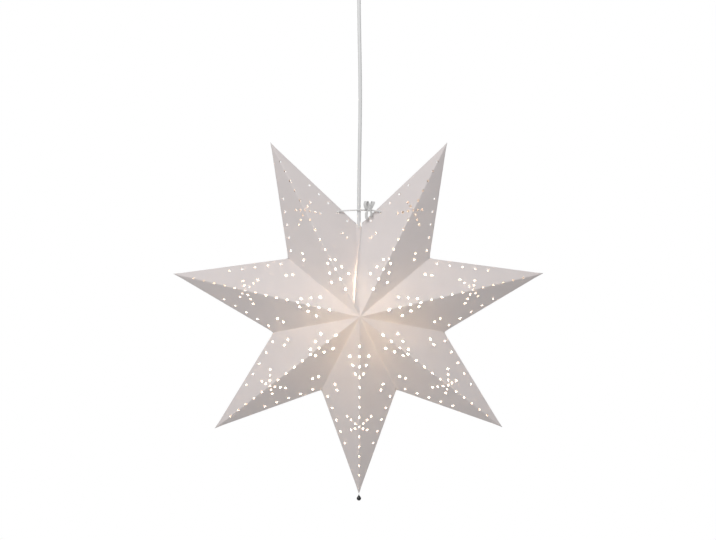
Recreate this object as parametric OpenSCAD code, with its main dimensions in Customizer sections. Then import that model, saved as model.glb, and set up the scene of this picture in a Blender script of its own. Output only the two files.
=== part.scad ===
// Hanging paper star lantern: seven folded and pierced card points round a
// small screw lamp, hung on a cord from a ceiling rose. The origin is at the
// ceiling, in the middle of the rose's top face. +Z is up, the star faces -Y.

/* [Star] */
// Radius from the star's centre to the tip of a point
tip_radius = 300; // [240:1:340]
// Radius from the star's centre to the inner corner between two points
corner_radius = 141; // [125:1:160]
// Depth from the star's middle plane to its front apex
half_depth = 70; // [55:1:85]
// Thickness of the card
card_thickness = 0.5; // [0.3:0.05:0.8]
// Width of a scored crease, where the card is all but cut through
crease_width = 0.1; // [0.05:0.01:0.2]
// Distance between the two free edges of the seam at the inner corner
seam_gap = 10; // [8:0.5:14]

/* [Pierced pattern] */
// Diameter of a pierced hole
hole_diameter = 4.4; // [3:0.1:5]
// Distance from the apex to the first hole on a ridge
ridge_start = 48.3; // [40:0.1:52]
// Distance between two holes on a ridge
ridge_pitch = 17.3; // [16:0.1:18]
// Distance between two holes along an arm of the burst
burst_pitch = 8.8; // [8:0.1:9.5]
// Distance from the side crease to the row of holes beside it
edge_inset = 8.6; // [7:0.1:10]
// Distance between two holes in the row beside the side crease
edge_pitch = 20.4; // [18:0.1:22]
// Distance from the side crease to the pair of holes
pair_inset = 31; // [28:0.5:34]

/* [Seam flap] */
// Width of the free glue flap near the apex
flap_width = 10.5; // [8:0.5:12]
// Width of the free glue flap at the inner corner
flap_end_width = 2; // [1:0.5:4]
// Space that the flap leaves over the next point's card
flap_lift = 2; // [1:0.1:3]

/* [Tie string] */
// Diameter of the tape where it is drawn taut to a string
string_diameter = 2; // [1:0.1:2.4]
// Width of the flat tape in the bow
tape_width = 4.8; // [3:0.1:6]
// Thickness of the tape
tape_thickness = 0.8; // [0.5:0.1:1.2]
// Width of the knot that holds the bow
knot_width = 8; // [6:0.5:10]
// Depth of the knot that holds the bow
knot_depth = 4.4; // [3:0.2:6]

/* [Tip bead] */
// Widest diameter of the drop bead
bead_diameter = 7.4; // [5:0.1:9]
// Height of the drop bead
bead_height = 10; // [8:0.5:14]
// Diameter of the wire of the bead's ring
ring_wire = 0.6; // [0.4:0.1:0.8]

/* [Cord] */
// Diameter of the cord
cord_diameter = 5.6; // [5:0.1:6.5]
// Length of cord from the swing point in the gland to the lamp holder
cord_drop = 410; // [380:5:900]

/* [Lamp holder] */
// Outer diameter of the lamp holder
holder_diameter = 28; // [26:0.5:32]
// Wall thickness of the holder's cap and shell
holder_wall = 1.6; // [1.2:0.1:2]
// Height of the holder's cap without its neck
cap_height = 18; // [14:0.5:20]
// Height of the neck that grips the cord
neck_height = 9; // [8:0.5:12]
// Diameter of the neck that grips the cord
neck_diameter = 11; // [10:0.5:13]
// Rounding of the cap's shoulder, on which the star hangs
shoulder_radius = 4; // [3:0.5:6]
// Height of the holder's shell
shell_height = 42; // [36:0.5:44]

/* [Bulb] */
// Outer diameter of the bulb's screw cap
bulb_cap_diameter = 13.6; // [13.2:0.1:13.9]
// Height of the bulb's screw cap
bulb_cap_height = 16; // [15:0.5:18]
// Diameter of the bulb's globe
globe_diameter = 45; // [40:1:50]
// Height of the housing between cap and globe
collar_height = 17; // [12:0.5:18]

/* [Ceiling rose] */
// Outer diameter of the rose's cover
rose_diameter = 104; // [96:1:120]
// Height of the rose's cover
rose_height = 36; // [34:0.5:46]
// Wall thickness of the rose's cover
rose_wall = 2; // [1.6:0.1:2.4]
// Thickness of the mounting plate
plate_thickness = 3; // [2.5:0.1:4]
// Distance between the two mounting screws
mount_spacing = 66; // [60:1:70]
// Diameter of a mounting screw hole
mount_hole = 4.6; // [4:0.1:5.5]
// Diameter of the hole in the plate for the supply cable
cable_hole = 16; // [12:0.5:18]
// Angle over which the cover's bayonet tabs slide on their lugs
bayonet_turn = 24; // [20:1:30]

/* [Gland] */
// Diameter of the rocking bush round the cord
bush_diameter = 13; // [12.5:0.1:14]
// Largest swing of the cord to each side
swing_angle = 20; // [10:1:20]
// Diameter of the gland's threaded neck
gland_thread = 14; // [13:0.5:16]

/* [Hidden] */

$fn = 48;
paper = [0.88, 0.86, 0.85];
// Clearance of parts that turn or rock in one another
running_gap = 0.3;
// Clearance of a part on the seat that carries it
seat_gap = 0.2;
// Space between faces that lie on each other
fit = 0.1;
// Overshoot of a cutting solid past the face that it cuts
over = 1;

// Star: angles and lengths of the folded card
point_count = 7;
// Distance from the flap's ends to the apex and to the inner corner
flap_end = 5;
seam_angle = 2 * asin(seam_gap / 2 / corner_radius);
wedge = (360 - seam_angle) / point_count;
apex = [0, -half_depth, 0];
tip = [0, 0, tip_radius];
corner = corner_radius * [sin(wedge / 2), 0, cos(wedge / 2)];
ridge_length = norm(tip - apex);
// Directions of a panel: along its ridge, away from it, and into the star
panel_out = unit(cross(corner - apex, tip - apex));
panel_u = unit(tip - apex);
panel_v = cross(panel_u, panel_out);
// The panel's inner corner in its own plane, measured from the apex
corner_u = (corner - apex) * panel_u;
corner_v = (corner - apex) * panel_v;
edge_dir = unit([ridge_length - corner_u, -corner_v]);
edge_in = [edge_dir[1], -edge_dir[0]];
// Half the angle that the card makes at each crease, measured inside the star
ridge_half = acos(panel_out[0]);
edge_half = acos(-panel_out[1]);
valley_half = acos(-panel_out * [cos(wedge / 2), 0, -sin(wedge / 2)]);

// Pierced pattern, in the panel's own plane
ridge_holes = 14;
burst_hole = 8;
burst_centre = ridge_start + burst_hole * ridge_pitch;
fan_hole = 4;
fan_centre = ridge_start + fan_hole * ridge_pitch;
fan_pitch = 14.8;
fan_angle = 20;
pair_half = 5.15;
edge_start = 11.8;
edge_holes = 5;
panel_corner = [corner_u, corner_v];
pattern = concat(
    [for (i = [0:ridge_holes - 1]) [ridge_start + i * ridge_pitch, 0]],
    [for (i = [1:3]) [burst_centre, 0] + i * burst_pitch * heading(120)],
    [for (i = [1:2]) [burst_centre, 0] + i * burst_pitch * heading(60)],
    [for (i = [1.5:1:3.5])
        [fan_centre, 0] + i * fan_pitch * heading(180 - fan_angle)],
    [for (s = [-1, 1])
        panel_corner + s * pair_half * edge_dir + pair_inset * edge_in],
    [for (i = [0:edge_holes - 1])
        panel_corner + (edge_start + i * edge_pitch) * edge_dir
            + edge_inset * edge_in]);

// Ceiling rose
cover_inner_r = rose_diameter / 2 - rose_wall;
lug_reach = 1.9;
arm_r = cover_inner_r - lug_reach - running_gap;
// Arms that stand up from the plate and carry the bayonet lugs
arm_wall = 2;
arm_height = 9;
arm_angle = 36;
lug_height = 2;
lug_z = -arm_height;
tab_z = lug_z + lug_height + seat_gap;
// Free angle between a tab and its lug once the cover is turned off
tab_clear = 10;
lug_angle = bayonet_turn - tab_clear;
lug_count = 3;
ceiling_gap = 0.3;
cable_hole_y = 24;
// Post that carries the cord saddle, pegged into the plate
post_x = cord_diameter / 2 + fit;
post_width = 26;
post_thickness = 7;
post_height = 19;
peg_diameter = 4;
peg_pitch = 16;
saddle_thickness = 5;
saddle_height = 8;
saddle_pitch = 16;
m3 = 3;
m3_head = 5.4;
m3_head_height = 2;
// A machine screw is drawn this much thinner than its hole
thread_gap = 0.2;
saddle_screw_length = 17;
slot_width = 0.6;
slot_depth = 0.8;
// Terminal block
block = [15, 30, 13];
block_x = -19.5;
block_face_x = block_x + block[0] / 2;
block_pitch = 14;
well_diameter = 4;
well_offset = 4.2;
well_depth = 5.2;
wire_bore = 3.4;
terminal_screw_length = 4;

// Gland and swing point
cover_floor_z = -rose_height;
bush_r = bush_diameter / 2;
socket_r = bush_r + running_gap;
lip_drop = 3;
gland_diameter = 24;
flange_drop = 4;
pivot_z = cover_floor_z - flange_drop - socket_r;
mouth_drop = 8;
cord_r = cord_diameter / 2;
waist_r = cord_r + running_gap;
flare = swing_angle + 2;
// The mouth clears a cord that swings to the side and to the front at once
mouth_flare = acos(pow(cos(swing_angle), 2)) + 2;
lip_r = waist_r / cos(mouth_flare) + lip_drop * tan(mouth_flare);
gland_neck = 9;
nut_height = 4;
nut_across = 20;
stub_bottom_z = pivot_z + cord_r + running_gap;
stub_top_z = -plate_thickness - 12;

// Lamp holder, from the top of its neck down
neck_top_z = pivot_z - cord_drop;
cap_top_z = neck_top_z - neck_height;
cord_end_z = cap_top_z - 5;
shoulder_z = cap_top_z - shoulder_radius;
cap_bottom_z = cap_top_z - cap_height;
mouth_z = cap_bottom_z - shell_height;
holder_r = holder_diameter / 2;
spigot_step = 4;
core_top_z = cap_bottom_z + spigot_step;
core_height = 16;
core_bottom_z = core_top_z - core_height;
core_r = holder_r - 2 * holder_wall - running_gap;
socket_wall = 0.5;
socket_inner_r = bulb_cap_diameter / 2 + running_gap;
socket_depth = bulb_cap_height + 5;
socket_seat = 2;
ledge_r = socket_inner_r + socket_wall + 1;
ledge_height = 1.6;
contact_thickness = 0.6;
contact_spring = 3;
lead_diameter = 2.2;
lead_spread = 5;
// Depth of the leads' wells in the core, and place of the screws beside them
lead_well = 6;
core_screw_depth = 4;
core_screw_start = 1.8;

// Bulb, from its contact down
bulb_top_z = core_bottom_z - contact_spring - seat_gap;
contact_height = 1.5;
insulator_height = 3;
cap_shell_z = bulb_top_z - contact_height - insulator_height;
collar_z = cap_shell_z - bulb_cap_height;
collar_top_r = 9.5;
collar_bottom_r = 15;
// Flat boss on the collar that the screw cap stands on
collar_boss_r = 6.2;
cap_top_r = 5.2;
globe_seat_z = collar_z - collar_height;
globe_r = globe_diameter / 2;
globe_neck_r = collar_bottom_r - 1.2;
globe_centre_z = globe_seat_z - sqrt(pow(globe_r, 2) - pow(globe_neck_r, 2));
globe_wall = 1;
board_r = sqrt(pow(globe_neck_r, 2) + pow(globe_r - globe_wall, 2)
    - pow(globe_r, 2)) - running_gap;

// The star hangs with its seam's edges on the shoulder of the holder's cap
shoulder_centre_r = holder_r - shoulder_radius;
edge_clear = shoulder_radius + card_thickness + running_gap;
star_z = shoulder_z - corner_radius
    + (edge_clear * norm([half_depth, corner_radius])
        + corner_radius * shoulder_centre_r) / half_depth;

// Tip bead: its ring hangs in a hole through the lowest point's two ridges
ring_r = 2.3;
ring_hole_height = 3.2;
ring_hole = 1.4;
ring_z = star_z - tip_radius + ring_hole_height - ring_r;
bead_hole = 1.3;
bead_eye = 1.1;

// Tie string, from the star's centre: round the cord, through the second hole
// beside the side crease on each side of the seam, front and back
tie_y = cord_r + string_diameter / 2 + 2 * running_gap;
tie_route = [[16, -7.6, 161.4], [24, -7.2, 160.4], [30, -6.8, 159.2],
    [32.6, -6.4, 158.6], [33.3, -5, 157.8], [34, -3.4, 157], [34.2, 0, 156.8],
    [34, 3.4, 157], [33.3, 5, 157.8], [32.6, 6.4, 158.6], [26, 5.8, 159.6],
    [12, tie_y + 0.2, 160.4], [0, tie_y, 160.6], [-12, tie_y + 0.2, 160.4],
    [-26, 5.8, 159.6], [-32.6, 6.4, 158.6], [-33.3, 5, 157.8],
    [-34, 3.4, 157], [-34.2, 0, 156.8], [-34, -3.4, 157], [-33.3, -5, 157.8],
    [-32.6, -6.4, 158.6], [-26, -5.8, 159.6], [-12, -tie_y - 0.2, 160.6],
    [0, -tie_y, 161], [8, -tie_y - 0.8, 161.2], [16, -7.6, 161.4]];
// Bow: two loops of flat tape that stand up and two ends that hang down, each
// with the direction in which its width lies
left_loop = [[15, -8.4, 161.6], [11.4, -9.6, 163.6], [9.8, -10.6, 167.5],
    [9.1, -11.2, 172], [9.4, -11, 175.8], [10.7, -9.8, 178.3],
    [12.5, -8.4, 178.5], [13.9, -7.2, 175.6], [14.2, -6.9, 171],
    [14.4, -7, 166.5], [15.4, -7.6, 162.4]];
left_loop_side = [1, 0, 0];
right_loop = [[17, -8.4, 162], [19.2, -9.6, 165.6], [20.8, -10.4, 169.2],
    [22.3, -11, 172.8], [23.7, -10.7, 175.9], [24.3, -9.6, 177.4],
    [23.8, -8.3, 176.2], [22.2, -7.3, 172.6], [20.2, -7, 168.4],
    [18.4, -7.2, 164.8], [16.6, -7.8, 162]];
right_loop_side = [0.84, 0, -0.54];
left_end = [[15, -8.6, 161], [11.6, -9.8, 159], [10.9, -10.8, 155.8],
    [11.8, -11.2, 152.4], [13.2, -11, 149.2]];
left_end_side = [0.96, 0, 0.28];
right_end = [[17, -8.6, 161], [19.8, -9.8, 158.6], [19.8, -10.8, 155.4],
    [18.9, -11.2, 152], [17.8, -11, 148.6]];
right_end_side = [0.96, 0, -0.28];
knot = [16, -8.1, 161.8];

// Leads from the cord to the terminals, in the rose and in the lamp holder
supply_route = [[0, 1.3, stub_top_z], [0, 1.3, stub_top_z + 1],
    [-1.5, 2.2, stub_top_z + 3.4], [-4.5, 4.2, stub_top_z + 5.2],
    [-8.5, 6.4, stub_top_z + 5.5], [block_face_x + 0.5, 7, stub_top_z + 5.5],
    [block_face_x - 6, 7, stub_top_z + 5.5]];
lamp_lead_route = [[1.3, 0, cord_end_z], [1.3, 0, cord_end_z - 1],
    [2.2, 0, cord_end_z - 2.6], [3.8, 0, cord_end_z - 4.4],
    [lead_spread, 0, cord_end_z - 6], [lead_spread, 0, core_top_z - 5]];

function unit(v) = v / norm(v);
function heading(a) = [cos(a), sin(a)];
function cotan(a) = 1 / tan(a);

// Moves a polygon's edges inwards, each by its own distance
function inset(p, d) = [for (i = [0:len(p) - 1])
    let (n = len(p), a = p[(i + n - 1) % n], b = p[i], c = p[(i + 1) % n],
        ea = unit(b - a), eb = unit(c - b),
        na = [-ea[1], ea[0]], nb = [-eb[1], eb[0]], k = na * nb,
        da = d[(i + n - 1) % n], db = d[i])
    b + (na * (da - k * db) + nb * (db - k * da)) / (1 - k * k)];

// A ring's own side direction, carried along a route without twist
function carried(route, i) = i == 0
    ? unit(cross(along(route, 0), [0.31, 0.52, 0.79]))
    : let (t = along(route, i), s = carried(route, i - 1)) unit(s - (s * t) * t);
function along(route, i) =
    unit(route[min(i + 1, len(route) - 1)] - route[max(i - 1, 0)]);

// A solid through rings of points, closed at both ends
module swept(rings) {
    n = len(rings);
    m = len(rings[0]);
    polyhedron([for (ring = rings) each ring], concat(
        [[for (k = [0:m - 1]) k]],
        [[for (k = [0:m - 1]) n * m - 1 - k]],
        [for (i = [0:n - 2], k = [0:m - 1])
            [i * m + k, (i + 1) * m + k, i * m + (k + 1) % m]],
        [for (i = [0:n - 2], k = [0:m - 1])
            [i * m + (k + 1) % m, (i + 1) * m + k,
                (i + 1) * m + (k + 1) % m]]), convexity = 8);
}

// A round string or wire along a route
module strand(route, diameter, sides = 8) {
    swept([for (i = [0:len(route) - 1])
        let (t = along(route, i), s = carried(route, i), w = cross(t, s))
        [for (k = [0:sides - 1]) route[i] + diameter / 2
            * (cos(360 * k / sides) * s + sin(360 * k / sides) * w)]]);
}

// Flat tape along a route, with its width along one direction
module tape(route, side) {
    swept([for (i = [0:len(route) - 1])
        let (w = unit(cross(along(route, i), side)))
        [for (c = [[-1, -1], [1, -1], [1, 1], [-1, 1]]) route[i]
            + c[0] * tape_width / 2 * unit(side)
            + c[1] * tape_thickness / 2 * w]]);
}

// Band of tape round the middle of the bow
module bow_knot() {
    r = knot_depth / 2;
    reach = knot_width / 2 - r;
    translate([knot[0], knot[1], knot[2] - tape_width / 2]) union() {
        for (s = [-1, 1]) translate([s * reach, 0, 0])
            cylinder(h = tape_width, r = r);
        translate([-reach, -r, 0]) cube([2 * reach, 2 * r, tape_width]);
    }
}

// A washer or tube standing on z, from z down by h
module ring_down(z, h, outer, inner) {
    translate([0, 0, z - h]) difference() {
        cylinder(h = h, r = outer);
        translate([0, 0, -over]) cylinder(h = h + 2 * over, r = inner);
    }
}

// Puts a shape's x, y and z along three directions, from an origin
module framed(origin, x, y, z) {
    multmatrix([[x[0], y[0], z[0], origin[0]], [x[1], y[1], z[1], origin[1]],
        [x[2], y[2], z[2], origin[2]], [0, 0, 0, 1]]) children();
}

// One face of a folded point: a triangle of card, mitred at its three creases
module panel() {
    flat = [[0, 0], [ridge_length, 0], panel_corner];
    halves = [ridge_half, edge_half, valley_half];
    outside = inset(flat, [for (a = halves) crease_width / 2]);
    inside = inset(flat,
        [for (a = halves) crease_width / 2 + card_thickness * cotan(a)]);
    framed(apex, panel_u, panel_v, -panel_out) difference() {
        polyhedron(concat([for (p = outside) [p[0], p[1], 0]],
            [for (p = inside) [p[0], p[1], card_thickness]]),
            [[0, 1, 2], [5, 4, 3], [0, 3, 4, 1], [1, 4, 5, 2], [2, 5, 3, 0]]);
        for (p = pattern) translate([p[0], p[1], -over])
            cylinder(h = card_thickness + 2 * over, d = hole_diameter, $fn = 20);
    }
}

// The glue flap that is left free at the seam, over the next point's card
module seam_flap() {
    root = -corner_radius * [sin(wedge / 2), 0, -cos(wedge / 2)] - apex;
    root_dir = unit(root);
    // The next panel is this point's own panel mirrored at the seam
    seam_side = [cos(wedge / 2), 0, sin(wedge / 2)];
    here = [-panel_v[0], panel_v[1], panel_v[2]];
    there = 2 * (here * seam_side) * seam_side - here;
    across = unit(there - (there * root_dir) * root_dir);
    lift_angle = atan((flap_lift + card_thickness) / flap_width);
    out = cross(root_dir, across);
    side = cos(lift_angle) * across + sin(lift_angle) * out;
    length = norm(root) - flap_end;
    framed(apex, root_dir, side, cross(root_dir, side))
        translate([0, 0, -card_thickness])
            linear_extrude(card_thickness) polygon([[flap_end, crease_width],
                [flap_end + flap_width, flap_width],
                [length / 2, 0.75 * flap_width],
                [length - flap_end_width, flap_end_width],
                [length, crease_width]]);
}

// A folded point of the star. Number 1 hangs straight down, the others follow
// clockwise as seen from the front, and the seam lies between 4 and 5.
module star_point(number) {
    turn = number <= 4 ? number - 1 : number - 1 - point_count;
    translate([0, 0, star_z]) rotate([0, 180 + turn * wedge, 0])
        difference() {
            for (mx = [0, 1], my = [0, 1]) mirror([mx, 0, 0]) mirror([0, my, 0])
                panel();
            if (number == 1) translate([0, 0, tip_radius - ring_hole_height])
                rotate([90, 0, 0])
                    cylinder(h = 2 * half_depth, d = ring_hole, center = true);
        }
    if (number == 5) translate([0, 0, star_z])
        rotate([0, 180 + turn * wedge, 0])
            for (my = [0, 1]) mirror([0, my, 0]) seam_flap();
}

module tie_string() {
    color("gainsboro") translate([0, 0, star_z]) union() {
        tape(left_loop, left_loop_side);
        tape(right_loop, right_loop_side);
        tape(left_end, left_end_side);
        tape(right_end, right_end_side);
        bow_knot();
        strand(tie_route, string_diameter);
    }
}

module bead_ring() {
    color("silver") translate([0, 0, ring_z]) rotate([0, 90, 0])
        rotate_extrude($fn = 32) translate([ring_r, 0])
            circle(d = ring_wire, $fn = 16);
}

module tip_bead() {
    eye_z = ring_z - ring_r;
    top = bead_eye;
    // Radii of the flat top and of the neck round the hole
    top_r = 0.55;
    neck_r = 0.9;
    neck_drop = 0.3;
    r = bead_diameter / 2;
    belly = r - bead_height + top;
    color("black") translate([0, 0, eye_z]) difference() {
        rotate_extrude($fn = 40) polygon(concat([[0, top], [top_r, top]],
            [for (t = [0.1:0.1:0.9])
                [neck_r + (r - neck_r) * (1 - cos(180 * t)) / 2,
                    top - neck_drop + t * (belly - top + neck_drop)]],
            [for (a = [0:-10:-90]) [r * cos(a), belly + r * sin(a)]]));
        rotate([90, 0, 0])
            cylinder(h = bead_diameter, d = bead_hole, center = true);
    }
}

module pendant_cord() {
    color("white") {
        translate([0, 0, cord_end_z])
            cylinder(h = pivot_z - cord_end_z, d = cord_diameter);
        translate([0, 0, pivot_z]) sphere(d = cord_diameter);
    }
}

module holder_cap() {
    r = holder_r;
    c = shoulder_radius;
    w = holder_wall;
    neck_chamfer = 1;
    color("whitesmoke") difference() {
        rotate_extrude() polygon(concat(
            [[0, neck_top_z], [neck_diameter / 2 - neck_chamfer, neck_top_z],
                [neck_diameter / 2, neck_top_z - neck_chamfer],
                [neck_diameter / 2, cap_top_z]],
            [for (a = [90:-10:0])
                [r - c + c * cos(a), cap_top_z - c + c * sin(a)]],
            [[r, cap_bottom_z], [r - w, cap_bottom_z]],
            [for (a = [0:10:90]) [r - c + (c - w) * cos(a),
                cap_top_z - c + (c - w) * sin(a)]],
            [[0, cap_top_z - w]]));
        translate([0, 0, cap_top_z - w - over])
            cylinder(h = neck_height + w + 2 * over, r = cord_r + fit);
        translate([0, 0, neck_top_z - neck_height / 2]) rotate([0, 90, 0])
            cylinder(h = neck_diameter, d = m3, $fn = 24);
    }
}

module cap_grip_screw() {
    // The screw's end stands this far out of the neck
    stand_out = 0.75;
    reach = neck_diameter / 2 - cord_r - fit + stand_out;
    color("silver") translate([cord_r + fit, 0, neck_top_z - neck_height / 2])
        rotate([0, 90, 0]) difference() {
            cylinder(h = reach, d = m3 - fit, $fn = 24);
            driver_slot(reach, 2 * m3);
        }
}

module holder_shell() {
    r = holder_r;
    w = holder_wall;
    spigot_gap = 0.15;
    mouth_chamfer = 0.6;
    // Ribs for the fingers run down the lower half
    ribs = 24;
    rib_width = 1;
    rib_length = 16;
    rib_height = 0.5;
    rib_start = 3;
    seam = cap_bottom_z - seat_gap;
    ledge_top = core_bottom_z - fit;
    color("whitesmoke") union() {
        rotate_extrude() polygon([[r - mouth_chamfer, mouth_z],
            [r, mouth_z + mouth_chamfer], [r, seam], [r - w - spigot_gap, seam],
            [r - w - spigot_gap, cap_bottom_z + spigot_step],
            [r - 2 * w, cap_bottom_z + spigot_step], [r - 2 * w, ledge_top],
            [ledge_r, ledge_top], [ledge_r, ledge_top - ledge_height],
            [r - w, ledge_top - ledge_height], [r - w, mouth_z + mouth_chamfer],
            [r - w + mouth_chamfer / 2, mouth_z]]);
        for (i = [0:ribs - 1]) rotate(i * 360 / ribs)
            translate([r - seat_gap, -rib_width / 2, mouth_z + rib_start])
                cube([seat_gap + rib_height, rib_width, rib_length]);
    }
}

// Axis of a terminal screw in the core, from the lead's surface outwards
module core_screw_axis(s) {
    translate([s * lead_spread, 0, core_top_z - core_screw_depth])
        rotate([s * -90, 0, 0]) translate([0, 0, core_screw_start]) children();
}

module holder_core() {
    color("ivory") difference() {
        translate([0, 0, core_bottom_z]) cylinder(h = core_height, r = core_r);
        for (s = [-1, 1])
            translate([s * lead_spread, 0, core_top_z - lead_well])
                cylinder(h = lead_well + over, d = lead_diameter + 2 * running_gap,
                    $fn = 24);
        for (s = [-1, 1]) core_screw_axis(s)
            cylinder(h = core_r, d = m3, $fn = 24);
        translate([0, 0, core_bottom_z - over]) cylinder(h = over + socket_seat,
            r = socket_inner_r + socket_wall + fit);
    }
}

module core_screws() {
    length = 5;
    color("silver") for (s = [-1, 1]) core_screw_axis(s)
        translate([0, 0, fit]) difference() {
            cylinder(h = length, d = m3 - thread_gap, $fn = 24);
            driver_slot(length, 2 * m3);
        }
}

module thread_shell() {
    color("gold") ring_down(core_bottom_z + socket_seat - fit,
        socket_depth + socket_seat - fit, socket_inner_r + socket_wall,
        socket_inner_r);
}

module centre_contact() {
    disc_r = 3;
    stem = 2.4;
    color("gold") translate([0, 0, core_bottom_z - contact_spring]) union() {
        cylinder(h = contact_thickness, r = disc_r, $fn = 32);
        translate([-stem / 2, -stem / 2, 0])
            cube([stem, stem, contact_spring + socket_seat - fit]);
    }
}

module lamp_leads() {
    color("tan") for (s = [0, 1]) mirror([s, 0, 0])
        strand(lamp_lead_route, lead_diameter);
}

module bulb_globe() {
    color("lightyellow") translate([0, 0, globe_centre_z]) difference() {
        sphere(r = globe_r);
        sphere(r = globe_r - globe_wall);
        translate([0, 0, globe_seat_z - globe_centre_z])
            cylinder(h = globe_r, r = globe_r);
    }
}

module bulb_collar() {
    rim = 1.5;
    skirt = 3;
    roof = 2;
    well_r = 5;
    color("white") difference() {
        rotate_extrude() polygon([[0, collar_z], [collar_boss_r, collar_z],
            [collar_boss_r, collar_z - fit], [collar_top_r - 1, collar_z - fit],
            [collar_top_r, collar_z - rim],
            [collar_bottom_r, globe_seat_z + skirt],
            [collar_bottom_r, globe_seat_z + seat_gap],
            [0, globe_seat_z + seat_gap]]);
        translate([0, 0, globe_seat_z - over])
            cylinder(h = collar_height - roof, r = well_r);
    }
}

module led_board() {
    chips = 8;
    chip = 2.8;
    chip_height = 0.7;
    chip_start = 7.5;
    thickness = 1.5;
    color("white") translate([0, 0, globe_seat_z - thickness + fit]) union() {
        cylinder(h = thickness, r = board_r);
        for (i = [0:chips - 1]) rotate(i * 360 / chips)
            translate([chip_start, -chip / 2, -chip_height])
                cube([chip, chip, chip_height + fit]);
    }
}

module bulb_cap() {
    r = bulb_cap_diameter / 2;
    pitch = 2.82;
    thread_start = 0.8;
    thread_depth = 0.4;
    wall = 1;
    color("silver") difference() {
        rotate_extrude() polygon(concat(
            [[0, cap_shell_z], [cap_top_r, cap_shell_z]],
            [for (z = [thread_start:pitch / 2:bulb_cap_height - 1])
                let (crest = floor(z / (pitch / 2)) % 2)
                [r - thread_depth * (1 - crest), cap_shell_z - z]],
            [[r, collar_z + seat_gap], [0, collar_z + seat_gap]]));
        translate([0, 0, collar_z])
            cylinder(h = bulb_cap_height - wall, r = r - wall);
    }
}

module bulb_insulator() {
    top_r = 3;
    color("black") translate([0, 0, cap_shell_z + fit])
        cylinder(h = insulator_height - fit, r1 = cap_top_r, r2 = top_r,
            $fn = 40);
}

module bulb_contact() {
    r = 2.6;
    z = cap_shell_z + insulator_height;
    color("gold") translate([0, 0, z + fit]) rotate_extrude($fn = 32)
        polygon([[0, 0], [r, 0], [r, 0.4 * contact_height],
            [r - 1, 0.8 * contact_height], [0, contact_height - fit]]);
}

module rose_plate() {
    color("lightgray") difference() {
        union() {
            translate([0, 0, -plate_thickness])
                cylinder(h = plate_thickness, r = arm_r, $fn = 96);
            ring_blocks(-arm_height, arm_height - plate_thickness / 2,
                arm_r - arm_wall, arm_r, arm_angle);
            ring_blocks(lug_z, lug_height, arm_r - arm_wall,
                arm_r + lug_reach, lug_angle);
        }
        for (s = [-1, 1]) translate([s * mount_spacing / 2, 0,
            -plate_thickness - over])
                cylinder(h = plate_thickness + 2 * over, d = mount_hole);
        translate([0, cable_hole_y, -plate_thickness - over])
            cylinder(h = plate_thickness + 2 * over, d = cable_hole);
        post_pegs(-plate_thickness - over, plate_thickness + 2 * over,
            peg_diameter + seat_gap);
    }
}

// Pegs of the cord post, or their holes, from z up by h
module post_pegs(z, h, d) {
    for (s = [-1, 1])
        translate([post_x + post_thickness / 2, s * peg_pitch / 2, z])
            cylinder(h = h, d = d, $fn = 32);
}

module cord_post() {
    color("white") difference() {
        union() {
            translate([post_x, -post_width / 2, -plate_thickness - post_height])
                cube([post_thickness, post_width, post_height]);
            post_pegs(-plate_thickness - over, plate_thickness + over - seat_gap,
                peg_diameter);
        }
        for (s = [-1, 1]) saddle_screw_axis(s)
            cylinder(h = 2 * post_thickness, d = m3, center = true, $fn = 24);
    }
}

// Driver slot across a screw's end face, which lies at z
module driver_slot(z, length) {
    translate([-length / 2, -slot_width / 2, z - slot_depth])
        cube([length, slot_width, over + slot_depth]);
}

// Short blocks of a ring from z up by h, one at each of the bayonet's lugs
module ring_blocks(z, h, inner, outer, angle) {
    for (i = [0:lug_count - 1]) rotate(90 + i * 360 / lug_count - angle / 2)
        translate([0, 0, z]) rotate_extrude(angle = angle, $fn = 96)
            translate([inner, 0]) square([outer - inner, h]);
}

module saddle_screw_axis(s) {
    translate([cord_r, s * saddle_pitch / 2,
        -plate_thickness - post_height + saddle_height / 2])
        rotate([0, 90, 0]) children();
}

module cord_saddle() {
    color("white") difference() {
        translate([-saddle_thickness - fit, -post_width / 2,
            -plate_thickness - post_height])
            cube([saddle_thickness + cord_r - running_gap, post_width,
                saddle_height]);
        translate([0, 0, -plate_thickness - post_height - over])
            cylinder(h = saddle_height + 2 * over, r = cord_r + fit);
        for (s = [-1, 1]) saddle_screw_axis(s)
            cylinder(h = 2 * saddle_screw_length, d = m3 + seat_gap,
                center = true, $fn = 24);
    }
}

module saddle_screws() {
    color("silver") for (s = [-1, 1]) saddle_screw_axis(s)
        translate([0, 0, -saddle_thickness - cord_r - 2 * fit - m3_head_height])
            difference() {
                union() {
                    cylinder(h = m3_head_height, d = m3_head, $fn = 32);
                    cylinder(h = saddle_screw_length, d = m3 - thread_gap,
                        $fn = 24);
                }
                rotate(90) mirror([0, 0, 1]) driver_slot(0, 2 * m3_head);
            }
}

module terminal_block() {
    color("white") difference() {
        translate([block_x - block[0] / 2, -block[1] / 2,
            -plate_thickness - block[2]]) cube(block);
        for (s = [-1, 1]) translate([block_x, s * block_pitch / 2,
            -plate_thickness - block[2] / 2]) rotate([0, 90, 0])
                cylinder(h = block[0] + 2 * over, d = wire_bore,
                    center = true, $fn = 24);
        for (sx = [-1, 1], sy = [-1, 1])
            translate([block_x + sx * well_offset, sy * block_pitch / 2,
                -plate_thickness - block[2] - over])
                cylinder(h = over + well_depth, d = well_diameter, $fn = 24);
    }
}

module terminal_screws() {
    color("silver") for (sx = [-1, 1], sy = [-1, 1])
        translate([block_x + sx * well_offset, sy * block_pitch / 2,
            -plate_thickness - block[2] + 1]) difference() {
                cylinder(h = terminal_screw_length, d = well_diameter - 2 * seat_gap,
                    $fn = 24);
                mirror([0, 0, 1]) driver_slot(0, 2 * well_diameter);
            }
}

module cord_stub() {
    color("white") translate([0, 0, stub_bottom_z])
        cylinder(h = stub_top_z - stub_bottom_z, d = cord_diameter);
}

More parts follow.
